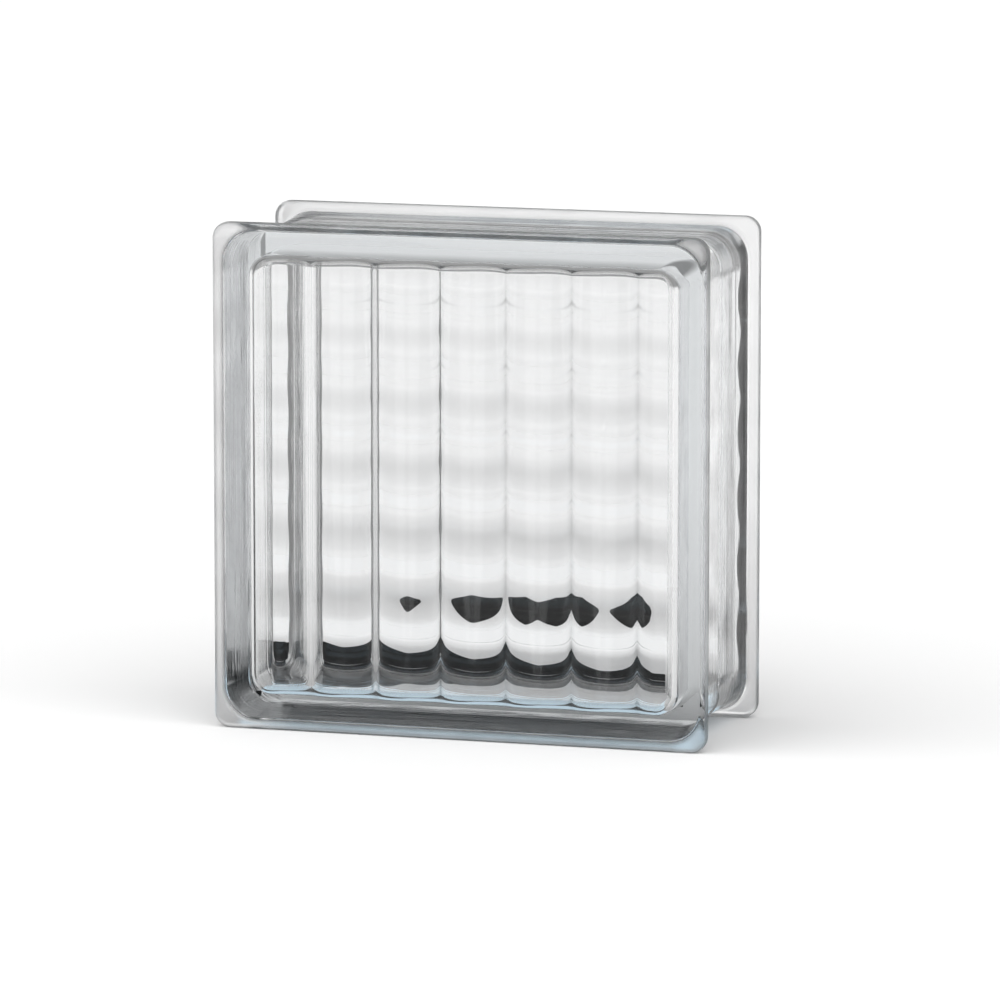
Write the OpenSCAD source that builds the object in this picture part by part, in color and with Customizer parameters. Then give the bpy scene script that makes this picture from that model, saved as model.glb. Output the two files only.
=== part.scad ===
// Hollow glass block: two pressed glass half shells, fused rim to rim at mid-depth.
// It stands upright on its lips. X is its width, Z its height, Y its depth, and the
// front face looks towards -Y. The origin is the middle of the footprint.
// Both halves are the same pressing. The front one is reeded upright on its inside, and
// the back one is turned a quarter round, so that its reeds are level.

/* [Face] */
// Width across the lips
face_w = 190; // [120:1:300]
// Height across the lips
face_h = 190; // [120:1:300]
// Radius of the four corners of the face outline
lip_corner_r = 6; // [4:0.5:12]
// Radius that rounds the outer edge of the face
face_edge_r = 2.2; // [1:0.1:3]

/* [Depth] */
// Depth from face to face
block_d = 80; // [60:1:120]
// Thickness of each lip, measured along the depth
lip_t = 6; // [5:0.5:9]
// Radius that rounds the inner edge of each lip, on the mortar side
lip_back_r = 1; // [0.5:0.1:1.5]

/* [Mortar groove] */
// Depth of the groove just behind each lip
shoulder_d = 3.6; // [3:0.1:5]
// Depth of the groove at the fused seam
seam_groove_d = 5.5; // [5:0.1:8]
// Radius of the body's corners at the seam
body_corner_r = 10; // [8:0.5:16]
// Slope that fills the root of each lip
root_cove = 2.6; // [0.5:0.1:3]

/* [Cavity] */
// Width of the solid frame round the cavity, at the back of the face glass
frame_w = 12.5; // [12:0.5:20]
// Thickness of the side wall at the seam
seam_wall = 6; // [5:0.5:7]
// Thickness of the face glass in the valleys between the reeds
face_t = 6.5; // [5:0.5:10]
// Radius of the cavity's corners at the back of the face glass
cavity_corner_r = 8; // [5:0.5:12]
// Radius that blends the face glass into the side wall
cavity_blend_r = 4; // [1:0.5:4.5]

/* [Reeds] */
// Distance from one reed to the next
reed_pitch = 25.2; // [18:0.2:32]
// Radius of the round crest of each reed
reed_r = 13.1; // [11:0.1:40]
// Radius of the hollow between two reeds
hollow_r = 12.1; // [10:0.1:40]
// Distance of a crest from the middle of the face
reed_shift = 10.9; // [0:0.1:12.5]

/* [Hidden] */
$fn = 96;

// How far a shape runs on inside another, so that they join or cut cleanly.
overrun = 1;

half_d = block_d / 2;
lip_root_z = half_d - lip_t;
body_slope = seam_groove_d - shoulder_d;

cavity_d = half_d - face_t;
seam_rim = seam_groove_d + seam_wall;
cavity_slope = frame_w - seam_rim;
cavity_seam_r = cavity_corner_r + cavity_slope;
draft = atan(cavity_slope / cavity_d);

reed_slope = asin(reed_pitch / 2 / (reed_r + hollow_r));
reed_rise = (reed_r + hollow_r) * (1 - cos(reed_slope));
crest_axis_z = cavity_d - reed_rise + reed_r;
hollow_axis_z = cavity_d - hollow_r;
joint_z = hollow_axis_z + hollow_r * cos(reed_slope);

// A round-cornered block, made by running the 2D section in children() round it.
// The section's x is the distance out from the corner axis, up to r, and its y is height.
module run_round(w, h, r, low, high) {
    side_x = w / 2 - r;
    side_y = h / 2 - r;
    translate([-side_x, -side_y, low])
        cube([2 * side_x, 2 * side_y, high - low]);
    for (turn = [0, 180]) {
        rotate([0, 0, turn])
            translate([side_x, 0, 0])
                rotate([90, 0, 0])
                    linear_extrude(height = 2 * side_y, center = true)
                        children();
        rotate([0, 0, turn + 90])
            translate([side_y, 0, 0])
                rotate([90, 0, 0])
                    linear_extrude(height = 2 * side_x, center = true)
                        children();
        rotate([0, 0, turn])
            translate([side_x, side_y, 0])
                rotate_extrude(angle = 90)
                    children();
        rotate([0, 0, turn])
            translate([-side_x, side_y, 0])
                rotate([0, 0, 90])
                    rotate_extrude(angle = 90)
                        children();
    }
}

// Quarter of a disc, from +x round to +y, which rounds an edge of a section.
module quarter_disc(r) {
    intersection() {
        circle(r = r);
        square(2 * r);
    }
}

// Section of the lip, with both of its outer edges rounded.
module lip_section() {
    r = lip_corner_r;
    translate([0, lip_root_z]) {
        square([r - face_edge_r, lip_t]);
        square([r - lip_back_r, lip_t - face_edge_r]);
        translate([0, lip_back_r])
            square([r, lip_t - face_edge_r - lip_back_r]);
        translate([r - face_edge_r, lip_t - face_edge_r])
            quarter_disc(face_edge_r);
        translate([r - lip_back_r, lip_back_r])
            mirror([0, 1])
                quarter_disc(lip_back_r);
    }
}

// Section of the body, from the seam out to the sloping root of the lip.
module body_section() {
    root_r = body_corner_r + body_slope;
    polygon([
        [0, 0],
        [body_corner_r, 0],
        [root_r, lip_root_z - root_cove],
        [root_r + root_cove, lip_root_z],
        [root_r + root_cove, lip_root_z + overrun],
        [0, lip_root_z + overrun]
    ]);
}

// Section of the cavity, whose sides draw in from the seam to the face glass.
module cavity_section() {
    r = cavity_corner_r;
    blend = min(cavity_blend_r, r - 0.5);
    blend_z = cavity_d - blend;
    blend_x = r + blend * tan(draft) - blend / cos(draft);
    polygon([
        [0, -overrun],
        [cavity_seam_r, -overrun],
        [cavity_seam_r, 0],
        [blend_x + blend * cos(draft), blend_z + blend * sin(draft)],
        [blend_x, blend_z],
        [blend_x, cavity_d],
        [0, cavity_d]
    ]);
    translate([blend_x, blend_z])
        quarter_disc(blend);
}

// Waved section of the reeds at the far end of the cavity, where x runs across them.
module reed_section(span) {
    reach = ceil((span / 2 + reed_shift) / reed_pitch);
    for (i = [-reach : reach])
        translate([reed_shift + i * reed_pitch, crest_axis_z])
            circle(r = reed_r);
    difference() {
        translate([-span / 2, joint_z])
            square([span, cavity_d + overrun - joint_z]);
        for (i = [-reach - 1 : reach])
            translate([reed_shift + (i + 0.5) * reed_pitch, hollow_axis_z])
                circle(r = hollow_r);
    }
}

// One half shell lying on its seam, face up, with reeds along Y, or along X if level.
module half_shell(level) {
    face_span = max(face_w, face_h);
    difference() {
        union() {
            run_round(face_w, face_h, lip_corner_r, lip_root_z, half_d)
                lip_section();
            run_round(face_w - 2 * seam_groove_d, face_h - 2 * seam_groove_d,
                      body_corner_r, 0, lip_root_z + overrun)
                body_section();
        }
        difference() {
            run_round(face_w - 2 * seam_rim, face_h - 2 * seam_rim,
                      cavity_seam_r, -overrun, cavity_d)
                cavity_section();
            rotate([90, 0, level ? -90 : 0])
                linear_extrude(height = face_span, center = true)
                    reed_section(face_span);
        }
    }
}

module front_half() {
    color([0.80, 0.85, 0.86, 0.5])
        translate([0, 0, face_h / 2])
            rotate([90, 0, 0])
                half_shell(level = false);
}

module back_half() {
    color([0.72, 0.80, 0.83, 0.5])
        translate([0, 0, face_h / 2])
            rotate([90, 0, 180])
                half_shell(level = true);
}

front_half();
back_half();
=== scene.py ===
import math
import bmesh
import bpy
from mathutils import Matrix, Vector


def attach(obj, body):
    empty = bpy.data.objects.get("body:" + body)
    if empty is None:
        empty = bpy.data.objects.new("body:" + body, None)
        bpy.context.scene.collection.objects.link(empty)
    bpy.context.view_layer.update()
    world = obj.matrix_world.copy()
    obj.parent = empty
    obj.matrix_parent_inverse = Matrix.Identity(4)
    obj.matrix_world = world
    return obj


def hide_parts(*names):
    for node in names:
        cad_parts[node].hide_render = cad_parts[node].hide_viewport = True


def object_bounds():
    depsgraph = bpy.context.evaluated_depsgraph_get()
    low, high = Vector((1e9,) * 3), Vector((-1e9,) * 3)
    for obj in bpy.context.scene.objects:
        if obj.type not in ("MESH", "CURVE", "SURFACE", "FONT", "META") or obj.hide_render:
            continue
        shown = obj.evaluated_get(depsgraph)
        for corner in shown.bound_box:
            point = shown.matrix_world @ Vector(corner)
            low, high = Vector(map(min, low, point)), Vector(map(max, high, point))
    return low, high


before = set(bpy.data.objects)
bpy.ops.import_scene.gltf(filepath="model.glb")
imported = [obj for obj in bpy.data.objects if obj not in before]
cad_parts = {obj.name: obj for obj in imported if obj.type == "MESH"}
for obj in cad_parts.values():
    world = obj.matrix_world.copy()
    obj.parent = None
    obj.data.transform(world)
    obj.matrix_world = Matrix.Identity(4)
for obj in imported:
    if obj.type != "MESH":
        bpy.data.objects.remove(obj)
cadLow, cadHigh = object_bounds()
mm = 0.001
touching = 1e-6                 # points closer than this count as one place


def clearSelection():
    bpy.ops.object.select_all(action="DESELECT")


def openForEditing(piece, selectBy="VERT"):
    clearSelection()
    piece.select_set(True)
    bpy.context.view_layer.objects.active = piece
    bpy.ops.object.mode_set(mode="EDIT")
    bpy.ops.mesh.select_mode(type=selectBy)
    bpy.ops.mesh.select_all(action="DESELECT")


def closeEditing():
    bpy.ops.object.mode_set(mode="OBJECT")


def pick(piece, kind, test):
    # selects what passes the test, in the mesh that is open for editing
    mesh = bmesh.from_edit_mesh(piece.data)
    for part in list(mesh.verts) + list(mesh.edges) + list(mesh.faces):
        part.select = False
    chosen = 0
    for part in getattr(mesh, kind):
        if test(part):
            part.select_set(True)
            chosen += 1
    mesh.select_flush_mode()
    bmesh.update_edit_mesh(piece.data)
    return chosen


block = {
    "lipThick": 6 * mm,         # each lip, along the depth
    "lipCorner": 6 * mm,        # radius of the corners of the face outline
    "faceEdge": 2.2 * mm,       # rounding of the outer edge of the face
    "lipBack": 1.0 * mm,        # rounding of the lip's inner edge
    "shoulder": 3.6 * mm,       # groove depth just behind the lip
    "seamGroove": 5.5 * mm,     # groove depth at the seam
    "bodyCorner": 10 * mm,      # corner radius of the body at the seam
    "rootRound": 2.6 * mm,      # hollow rounding at the lip's root
    "beadReach": 1.6 * mm,      # half the width of the fused bead
    "beadRise": 0.5 * mm,       # how far the fused bead stands out
    "frameWidth": 12.5 * mm,    # solid frame round the cavity, at the face glass
    "seamWall": 6 * mm,         # side wall at the seam
    "faceGlass": 6.5 * mm,      # face glass in the valleys
    "cavityCorner": 8 * mm,     # corner radius of the cavity at the face glass
    "cavityBlend": 4 * mm,      # blend from face glass to side wall
    "faceInset": 0.6 * mm,      # narrow band that keeps each face flat up to its rounded edge
    "cornerSteps": 10,
    "faceEdgeSteps": 7,
    "lipBackSteps": 4,
    "rootSteps": 6,
    "beadSteps": 6,
    "blendSteps": 7,
    "softAngle": 40,            # edges sharper than this, in degrees, stay crisp
}
reed = {
    "pitch": 25.2 * mm,
    "crestRadius": 13.1 * mm,   # round crest of each reed
    "valleyRadius": 12.1 * mm,  # hollow between two reeds
    "frontCrest": 10.9 * mm,    # a crest of the front reeds, right of the middle
    "backCrest": -10.9 * mm,    # a crest of the back reeds, above the middle
    "crestSteps": 14,
    "valleySteps": 12,
}

halfWide = (cadHigh.x - cadLow.x) / 2
halfTall = (cadHigh.z - cadLow.z) / 2
halfDeep = (cadHigh.y - cadLow.y) / 2
middle = (cadLow + cadHigh) / 2


def reedHeight(across):
    # height of the reeded glass above its valleys, at a distance across from a crest
    crest, valley, half = reed["crestRadius"], reed["valleyRadius"], reed["pitch"] / 2
    slope = half / (crest + valley)
    fromCrest = abs((across + half) % (2 * half) - half)
    if fromCrest < crest * slope:
        top = (crest + valley) * (1 - math.sqrt(1 - slope * slope))
        return top - crest + math.sqrt(crest * crest - fromCrest * fromCrest)
    return valley - math.sqrt(valley * valley - (half - fromCrest) ** 2)


def reedStations(shift, reach):
    # where a reeded face is cut into strips, out to reach on both sides of the middle
    half = reed["pitch"] / 2
    slope = half / (reed["crestRadius"] + reed["valleyRadius"])
    turn = math.asin(slope)
    local = []
    for radius, steps, centre in ((reed["crestRadius"], reed["crestSteps"], 0),
                                  (reed["valleyRadius"], reed["valleySteps"], half)):
        local += [centre + radius * math.sin(turn * (2 * i / steps - 1)) for i in range(steps)]
    count = math.ceil(reach / reed["pitch"]) + 1
    every = [shift + k * reed["pitch"] + u for k in range(-count, count + 1) for u in local]
    return sorted(x for x in every if abs(x) < reach)


def outerRings():
    # (y, groove depth, corner radius) from the front face to the back one
    b = block
    rings = []
    steps = b["faceEdgeSteps"]
    for i in range(steps + 1):
        a = math.pi / 2 * i / steps
        sink = b["faceEdge"] * (1 - math.sin(a))
        rings.append((-halfDeep + b["faceEdge"] * (1 - math.cos(a)), sink, b["lipCorner"] - sink))
    lipRoot = halfDeep - b["lipThick"]
    steps = b["lipBackSteps"]
    for i in range(steps + 1):
        a = math.pi / 2 * i / steps
        sink = b["lipBack"] * (1 - math.cos(a))
        rings.append((-lipRoot - b["lipBack"] * (1 - math.sin(a)), sink, b["lipCorner"] - sink))
    cornerGrow = b["seamGroove"] - b["shoulder"]
    steps = b["rootSteps"]
    for i in range(steps + 1):
        a = math.pi / 2 * i / steps
        rise = b["rootRound"] * (1 - math.sin(a))
        radius = b["bodyCorner"] + cornerGrow + rise
        rings.append((-lipRoot + b["rootRound"] * (1 - math.cos(a)), b["shoulder"] - rise, radius))
    for share in (0.25, 0.5, 0.75):
        y = -lipRoot + b["rootRound"] + share * (lipRoot - b["rootRound"] - b["beadReach"])
        sink = b["shoulder"] + cornerGrow * share
        rings.append((y, sink, b["bodyCorner"] + b["seamGroove"] - sink))
    steps = b["beadSteps"]
    for i in range(steps + 1):
        t = i / steps
        y = -b["beadReach"] * (1 - t)
        rise = b["beadRise"] * (1 - math.cos(math.pi * t)) / 2
        rings.append((y, b["seamGroove"] - rise, b["bodyCorner"] + rise))
    back = [(-y, sink, radius) for y, sink, radius in reversed(rings[:-1])]
    return rings + back


def reshapeRing(piece, y, old, new):
    # moves the ring at y from one outline, (half width, half height, corner radius), to another
    for sx in (-1, 1):
        for sz in (-1, 1):
            pick(piece, "verts", lambda v: abs(v.co.y - y) < touching
                 and v.co.x * sx > 0 and (v.co.z - middle.z) * sz > 0)
            centre = Vector((sx * (old[0] - old[2]), y, middle.z + sz * (old[1] - old[2])))
            ratio = new[2] / old[2]
            bpy.ops.transform.resize(value=(ratio, 1, ratio), center_override=centre)
            goal = Vector((sx * (new[0] - new[2]), y, middle.z + sz * (new[1] - new[2])))
            bpy.ops.transform.translate(value=goal - centre)


def outlineAt(ring):
    return halfWide - ring[1], halfTall - ring[1], ring[2]


def makeOuterSurface():
    rings = outerRings()
    first = outlineAt(rings[0])
    bpy.ops.mesh.primitive_plane_add(size=2, location=(0, rings[0][0], middle.z),
                                     rotation=(math.pi / 2, 0, 0))
    piece = bpy.context.object
    piece.scale = (first[0], first[1], 1)
    bpy.ops.object.transform_apply(location=True, rotation=True, scale=True)
    openForEditing(piece)
    bpy.ops.mesh.select_all(action="SELECT")
    bpy.ops.mesh.bevel(affect="VERTICES", offset=first[2], offset_type="OFFSET",
                       segments=block["cornerSteps"], profile=0.5)
    lastY, lastOutline = rings[0][0], first
    pick(piece, "faces", lambda f: True)
    for ring in rings[1:]:
        bpy.ops.mesh.extrude_region_move(TRANSFORM_OT_translate={"value": (0, ring[0] - lastY, 0)})
        outline = outlineAt(ring)
        if any(abs(a - b) > 1e-9 for a, b in zip(outline, lastOutline)):
            reshapeRing(piece, ring[0], lastOutline, outline)
        lastY, lastOutline = ring[0], outline
        pick(piece, "faces", lambda f: all(abs(v.co.y - lastY) < touching for v in f.verts))
    for y in (-halfDeep, halfDeep):
        pick(piece, "faces", lambda f: all(abs(v.co.y - y) < touching for v in f.verts))
        bpy.ops.mesh.inset(thickness=block["faceInset"], depth=0)
    bpy.ops.mesh.select_all(action="SELECT")
    bpy.ops.mesh.normals_make_consistent(inside=False)
    closeEditing()
    return piece


outer = makeOuterSurface()
print("outer surface:", len(outer.data.vertices), "points")


def makeCavity():
    b = block
    rim = b["seamGroove"] + b["seamWall"]
    seamRadius = b["cavityCorner"] + b["frameWidth"] - rim
    depth = halfDeep - b["faceGlass"]
    seamW, seamH = halfWide - rim, halfTall - rim
    plateW, plateH = halfWide - b["frameWidth"], halfTall - b["frameWidth"]
    bpy.ops.mesh.primitive_cube_add(size=2, location=(0, 0, middle.z))
    piece = bpy.context.object
    piece.scale = (seamW, depth, seamH)
    bpy.ops.object.transform_apply(location=True, rotation=True, scale=True)
    openForEditing(piece, "EDGE")
    # round the four long edges, then cut the seam ring
    pick(piece, "edges", lambda e: abs(e.verts[0].co.y - e.verts[1].co.y) > depth)
    bpy.ops.mesh.bevel(affect="EDGES", offset=seamRadius, offset_type="OFFSET",
                       segments=b["cornerSteps"], profile=0.5)
    bpy.ops.mesh.select_all(action="SELECT")
    bpy.ops.mesh.bisect(plane_co=(0, 0, 0), plane_no=(0, 1, 0), use_fill=False)
    for side in (-1, 1):
        reshapeRing(piece, side * depth, (seamW, seamH, seamRadius), (plateW, plateH, b["cavityCorner"]))
    # blend the end faces into the walls
    bpy.ops.mesh.select_mode(type="EDGE")
    pick(piece, "edges", lambda e: all(abs(abs(v.co.y) - depth) < touching for v in e.verts))
    bpy.ops.mesh.bevel(affect="EDGES", offset=b["cavityBlend"], offset_type="OFFSET",
                       segments=b["blendSteps"], profile=0.5, loop_slide=True, clamp_overlap=False)
    draft = math.atan((b["frameWidth"] - rim) / depth)
    blendEnd = depth - b["cavityBlend"] * 1.35      # just past the blend, on the wall
    corner = plateW - b["cavityCorner"]
    for side, axis, shift in ((-1, 0, reed["frontCrest"]), (1, 2, reed["backCrest"])):
        centre = middle[axis]
        normal = Vector((1, 0, 0)) if axis == 0 else Vector((0, 0, 1))
        for across in reedStations(shift, corner):
            place = Vector((0, 0, middle.z))
            place[axis] = centre + across
            pick(piece, "faces", lambda f: all(v.co.y * side > blendEnd for v in f.verts))
            bpy.ops.mesh.bisect(plane_co=place, plane_no=normal, use_fill=False, threshold=touching)
        # push each column of points in by the height of the reed there
        other = 2 - axis
        mesh = bmesh.from_edit_mesh(piece.data)
        columns = {}
        for v in mesh.verts:
            if v.co.y * side > blendEnd:
                columns.setdefault(round(v.co[axis] - centre, 6), []).append(v.index)
        for across in sorted(columns):
            rise = reedHeight(across - shift)
            wanted = set(columns[across])
            for end in (-1, 1):
                pick(piece, "verts", lambda v: v.index in wanted
                     and (v.co[other] - middle[other]) * end > 0)
                move = Vector((0, -side * rise, 0))
                move[other] = end * rise * math.tan(draft)
                if abs(across) > corner:
                    move[axis] = math.copysign(rise * math.tan(draft), across)
                bpy.ops.transform.translate(value=move)
    bpy.ops.mesh.select_all(action="SELECT")
    bpy.ops.mesh.normals_make_consistent(inside=True)
    closeEditing()
    return piece


cavity = makeCavity()
print("cavity:", len(cavity.data.vertices), "points")

clearSelection()
cavity.select_set(True)
outer.select_set(True)
bpy.context.view_layer.objects.active = outer
bpy.ops.object.join()
glassBlock = bpy.context.object
glassBlock.name = "glass_block"
bpy.ops.object.shade_smooth_by_angle(angle=math.radians(block["softAngle"]))
bpy.ops.object.modifier_add(type="WEIGHTED_NORMAL")
glassBlock.modifiers[-1].keep_sharp = True
bpy.ops.object.modifier_apply(modifier=glassBlock.modifiers[-1].name)
print("glass block:", len(glassBlock.data.polygons), "faces")


glassLook = {
    "ior": 1.52,
    "tint": (0.48, 0.52, 0.545, 1),     # takes a little more red than blue
    "density": 8.0,
    "faceRoughness": (0.0, 0.02),       # fire-polished faces, from and to
    "grooveRoughness": (0.12, 0.26),    # mortar grooves, from and to
    "lipRoughness": 0.35,               # added on the inner side and the edge of each lip
    "grooveDepth": 2.0 * mm,            # how far in from the outline the matt finish starts
    "cloudScale": 60.0,                 # how the roughness varies, per metre
    "cloudRange": (0.35, 0.65),         # the part of that variation that is used
    "rippleScale": 38.0,                # slow waves of the pressed faces, per metre
    "rippleHeight": 0.05 * mm,
    "streakScale": 420.0,               # fine lines that run round the grooves, per metre
    "streakStretch": (0.03, 1, 0.03),
    "streakHeight": 0.22 * mm,
}


def makeGlass():
    look = glassLook
    material = bpy.data.materials.new("clearPressedGlass")
    material.use_nodes = True
    nodes, links = material.node_tree.nodes, material.node_tree.links
    shader = nodes["Principled BSDF"]
    shader.distribution = "GGX"
    shader.inputs["Base Color"].default_value = (1, 1, 1, 1)
    shader.inputs["Transmission Weight"].default_value = 1
    shader.inputs["IOR"].default_value = look["ior"]
    absorb = nodes.new("ShaderNodeVolumeAbsorption")
    absorb.inputs["Color"].default_value = look["tint"]
    absorb.inputs["Density"].default_value = look["density"]
    links.new(absorb.outputs["Volume"], nodes["Material Output"].inputs["Volume"])

    def newNode(kind, **settings):
        node = nodes.new(kind)
        for key, value in settings.items():
            setattr(node, key, value)
        return node

    def maths(operation, *values):
        node = newNode("ShaderNodeMath", operation=operation)
        for socket, value in zip(node.inputs, values):
            if isinstance(value, bpy.types.NodeSocket):
                links.new(value, socket)
            else:
                socket.default_value = value
        return node.outputs[0]

    def noise(scale, stretch, detail):
        place = newNode("ShaderNodeMapping")
        place.inputs["Scale"].default_value = stretch
        links.new(coordinates.outputs["Object"], place.inputs["Vector"])
        node = newNode("ShaderNodeTexNoise")
        node.inputs["Scale"].default_value = scale
        node.inputs["Detail"].default_value = detail
        links.new(place.outputs["Vector"], node.inputs["Vector"])
        return node.outputs["Fac"]

    coordinates = newNode("ShaderNodeTexCoord")
    split = newNode("ShaderNodeSeparateXYZ")
    links.new(coordinates.outputs["Object"], split.inputs[0])
    # the matt lips and grooves: near the outline, and between the two faces
    across = maths("ABSOLUTE", split.outputs["X"])
    upwards = maths("ABSOLUTE", maths("SUBTRACT", split.outputs["Z"], middle.z))
    fromSeam = maths("ABSOLUTE", split.outputs["Y"])
    reach = maths("MAXIMUM", across, upwards)
    onSide = maths("GREATER_THAN", reach, halfWide - block["seamGroove"] - look["grooveDepth"])
    between = maths("LESS_THAN", fromSeam, halfDeep - block["faceEdge"] / 2)
    matt = maths("MULTIPLY", onSide, between)
    cloud = noise(look["cloudScale"], (1, 1, 1), 1)
    polished = newNode("ShaderNodeMapRange")
    rough = newNode("ShaderNodeMapRange")
    for node, limits in ((polished, look["faceRoughness"]), (rough, look["grooveRoughness"])):
        node.inputs["From Min"].default_value, node.inputs["From Max"].default_value = look["cloudRange"]
        node.inputs["To Min"].default_value, node.inputs["To Max"].default_value = limits
        links.new(cloud, node.inputs["Value"])
    roughness = newNode("ShaderNodeMix")
    links.new(matt, roughness.inputs["Factor"])
    links.new(polished.outputs["Result"], roughness.inputs["A"])
    links.new(rough.outputs["Result"], roughness.inputs["B"])
    onLip = maths("GREATER_THAN", fromSeam, halfDeep - block["lipThick"] - mm)
    rougher = maths("MULTIPLY", maths("MULTIPLY", onLip, matt), look["lipRoughness"])
    links.new(maths("ADD", roughness.outputs["Result"], rougher), shader.inputs["Roughness"])
    # slow ripples everywhere, and fine lines round the grooves
    ripple = maths("MULTIPLY", noise(look["rippleScale"], (1, 1, 1), 0), look["rippleHeight"])
    lines = maths("MULTIPLY", noise(look["streakScale"], look["streakStretch"], 1), look["streakHeight"])
    height = maths("ADD", ripple, maths("MULTIPLY", lines, matt))
    bump = newNode("ShaderNodeBump")
    bump.inputs["Strength"].default_value = 1
    bump.inputs["Distance"].default_value = 1
    links.new(height, bump.inputs["Height"])
    links.new(bump.outputs["Normal"], shader.inputs["Normal"])
    return material


glassBlock.data.materials.clear()
glassBlock.data.materials.append(makeGlass())
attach(glassBlock, "root")
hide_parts("front_half", "back_half")
print("clear glass on", glassBlock.name)


studio = {
    "floorSize": 24.0,
    "floorShadeNear": (0.12, 0.80),  # distance from the block, and how pale the floor is there in the glass: painted shade, darker near the block
    "floorShadeFar": (0.70, 0.97),
    "worldLight": 1.04,
    "frontLight": 1.75,         # how much the camera's side of the studio lights the floor
    "frontSeen": 0.30,          # how bright that side looks in the glass
    "frontFade": (-0.1, 0.2),   # where the camera's side passes into the far side, along Y
    "upperGrey": 0.35,          # how bright the studio is above the light along the horizon
    "upperFade": (0.14, 0.25),  # where that light passes into the grey, along Z
    # plain cards round the block, which only the glass shows: grey, and corners in mm
    "cards": {
        "darkCardFar": (0.01, [(-65, 48, 25), (55, 48, 25), (50, 66, 25), (0, 90, 25), (-40, 66, 25)]),
        "darkCardNear": (0.01, [(-86, 43, 7), (72, 43, 7), (72, 43, 13.4), (-86, 43, 19.8)]),
        # the low card lies flat on the floor just behind the block: painted shadow, where the block and
        # the near card would shade the floor
        "paintedShadowCardLow": (0.01, [(-86, 41, 0.4), (72, 41, 0.4), (72, 50, 0.4), (-86, 50, 0.4)]),
        "greyCardLeft": (0.60, [(-101, 43, 0), (-101, 70, 0), (-101, 70, 200), (-101, 43, 200)]),
        "darkCardFront": (0.02, [(-900, -1500, 1), (150, -1500, 1), (150, -44, 1), (-900, -44, 1)]),
    },
    # a faint card under the block, for the light that reaches the floor through the glass
    "underGlow": (0.50, 0.62, 0.70, 1),
    "underCard": [(-88, -32, 0.4), (88, -32, 0.4), (88, 32, 0.4), (-88, 32, 0.4)],
}


def plainMaterial(name, colour, roughness, glow=0):
    material = bpy.data.materials.new(name)
    material.use_nodes = True
    shader = material.node_tree.nodes["Principled BSDF"]
    shader.inputs["Base Color"].default_value = colour
    shader.inputs["Roughness"].default_value = roughness
    shader.inputs["Emission Color"].default_value = colour
    shader.inputs["Emission Strength"].default_value = glow
    return material


def makeFloorWithPaintedShade():
    near, far = studio["floorShadeNear"], studio["floorShadeFar"]
    material = plainMaterial("paleFloorWithPaintedShade", (far[1], far[1], far[1], 1), 1)
    nodes, links = material.node_tree.nodes, material.node_tree.links
    place = nodes.new("ShaderNodeTexCoord")
    away = nodes.new("ShaderNodeVectorMath")
    away.operation = "LENGTH"
    links.new(place.outputs["Object"], away.inputs[0])
    # painted shade: in the glass the floor is darker near the block, in place of the block's shadow; the
    # camera sees it evenly pale
    paintedShade = nodes.new("ShaderNodeMapRange")
    paintedShade.inputs["From Min"].default_value, paintedShade.inputs["To Min"].default_value = near
    paintedShade.inputs["From Max"].default_value, paintedShade.inputs["To Max"].default_value = far
    links.new(away.outputs["Value"], paintedShade.inputs["Value"])
    path = nodes.new("ShaderNodeLightPath")
    seen = nodes.new("ShaderNodeMix")
    seen.inputs["B"].default_value = 1
    links.new(path.outputs["Is Camera Ray"], seen.inputs["Factor"])
    links.new(paintedShade.outputs["Result"], seen.inputs["A"])
    links.new(seen.outputs["Result"], nodes["Principled BSDF"].inputs["Base Color"])
    return material


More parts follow.
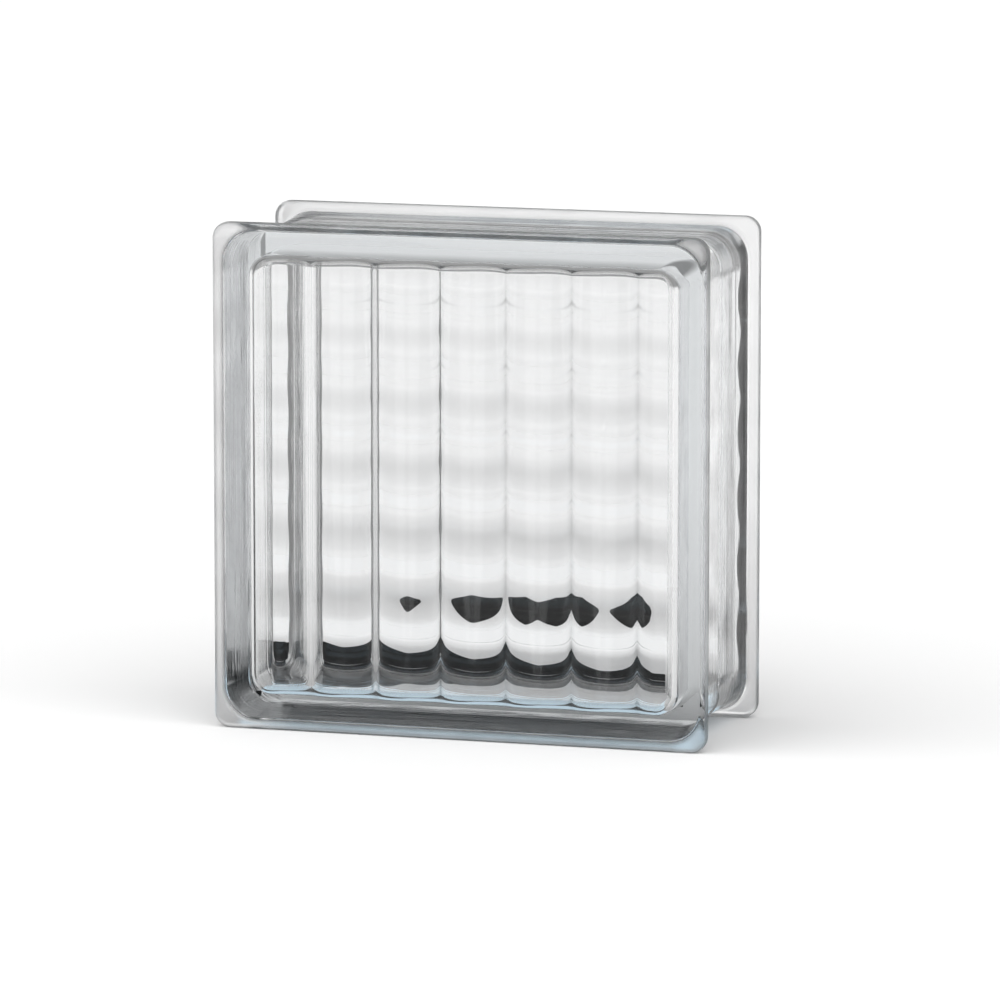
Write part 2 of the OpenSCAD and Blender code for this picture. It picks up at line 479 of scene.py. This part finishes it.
def makeStudio():
    world = bpy.data.worlds.new("studioWhite")
    bpy.context.scene.world = world
    world.use_nodes = True
    nodes, links = world.node_tree.nodes, world.node_tree.links
    background = nodes["Background"]
    background.inputs["Strength"].default_value = studio["worldLight"]
    place = nodes.new("ShaderNodeTexCoord")
    split = nodes.new("ShaderNodeSeparateXYZ")
    links.new(place.outputs["Generated"], split.inputs[0])
    height = nodes.new("ShaderNodeMapRange")
    height.inputs["From Min"].default_value, height.inputs["From Max"].default_value = studio["upperFade"]
    height.inputs["To Min"].default_value = 1
    height.inputs["To Max"].default_value = studio["upperGrey"]
    links.new(split.outputs["Z"], height.inputs["Value"])
    side = nodes.new("ShaderNodeMapRange")
    side.inputs["From Min"].default_value, side.inputs["From Max"].default_value = studio["frontFade"]
    links.new(split.outputs["Y"], side.inputs["Value"])
    path = nodes.new("ShaderNodeLightPath")
    ahead = nodes.new("ShaderNodeMix")
    ahead.inputs["A"].default_value = studio["frontSeen"]
    ahead.inputs["B"].default_value = studio["frontLight"]
    links.new(path.outputs["Is Diffuse Ray"], ahead.inputs["Factor"])
    level = nodes.new("ShaderNodeMix")
    links.new(ahead.outputs["Result"], level.inputs["A"])
    links.new(side.outputs["Result"], level.inputs["Factor"])
    links.new(height.outputs["Result"], level.inputs["B"])
    seen = nodes.new("ShaderNodeMix")
    seen.inputs["B"].default_value = 1
    links.new(path.outputs["Is Camera Ray"], seen.inputs["Factor"])
    links.new(level.outputs["Result"], seen.inputs["A"])
    links.new(seen.outputs["Result"], background.inputs["Color"])
    bpy.ops.mesh.primitive_plane_add(size=studio["floorSize"], location=(0, 0, 0))
    floor = bpy.context.object
    floor.name = "paleFloorWithPaintedShade"
    floor.data.materials.append(makeFloorWithPaintedShade())
    for name, (grey, corners) in studio["cards"].items():
        addCard(name, plainMaterial(name, (grey, grey, grey, 1), 1), corners)
    underGlow = plainMaterial("underGlow", studio["underGlow"], 1, glow=1)
    addCard("underCard", underGlow, studio["underCard"])


def addCard(name, material, corners):
    mesh = bpy.data.meshes.new(name)
    mesh.from_pydata([Vector(corner) * mm for corner in corners], [], [range(len(corners))])
    mesh.materials.append(material)
    card = bpy.data.objects.new(name, mesh)
    bpy.context.scene.collection.objects.link(card)
    card.visible_camera = False
    card.visible_shadow = False
    card.visible_diffuse = False


makeStudio()
print("studio:", len(studio["cards"]) + 1, "cards round the block")


shot = {
    "azimuth": 16.85,           # degrees round to the right of the front face
    "elevation": 8.68,          # degrees above the middle of the block
    "distance": 2.665,
    "lens": 256.9,
    "sensor": 36,
    "shiftX": 0.0121,
    "shiftY": -0.0285,
    "farLimit": 50,
}


def makeCamera():
    a, e = math.radians(shot["azimuth"]), math.radians(shot["elevation"])
    back = Vector((math.sin(a) * math.cos(e), -math.cos(a) * math.cos(e), math.sin(e)))
    bpy.ops.object.camera_add(location=middle + back * shot["distance"])
    camera = bpy.context.object
    camera.rotation_euler = (-back).to_track_quat("-Z", "Y").to_euler()
    camera.data.lens = shot["lens"]
    camera.data.sensor_width = shot["sensor"]
    camera.data.shift_x = shot["shiftX"]
    camera.data.shift_y = shot["shiftY"]
    camera.data.clip_end = shot["farLimit"]
    bpy.context.scene.camera = camera


makeCamera()
print("camera:", shot["distance"], "m from the block")

# the block's many walls need light to pass through it often
scene = bpy.context.scene
scene.view_settings.view_transform = "Standard"
scene.cycles.max_bounces = 18
scene.cycles.transmission_bounces = 18
scene.cycles.glossy_bounces = 10
scene.cycles.diffuse_bounces = 3
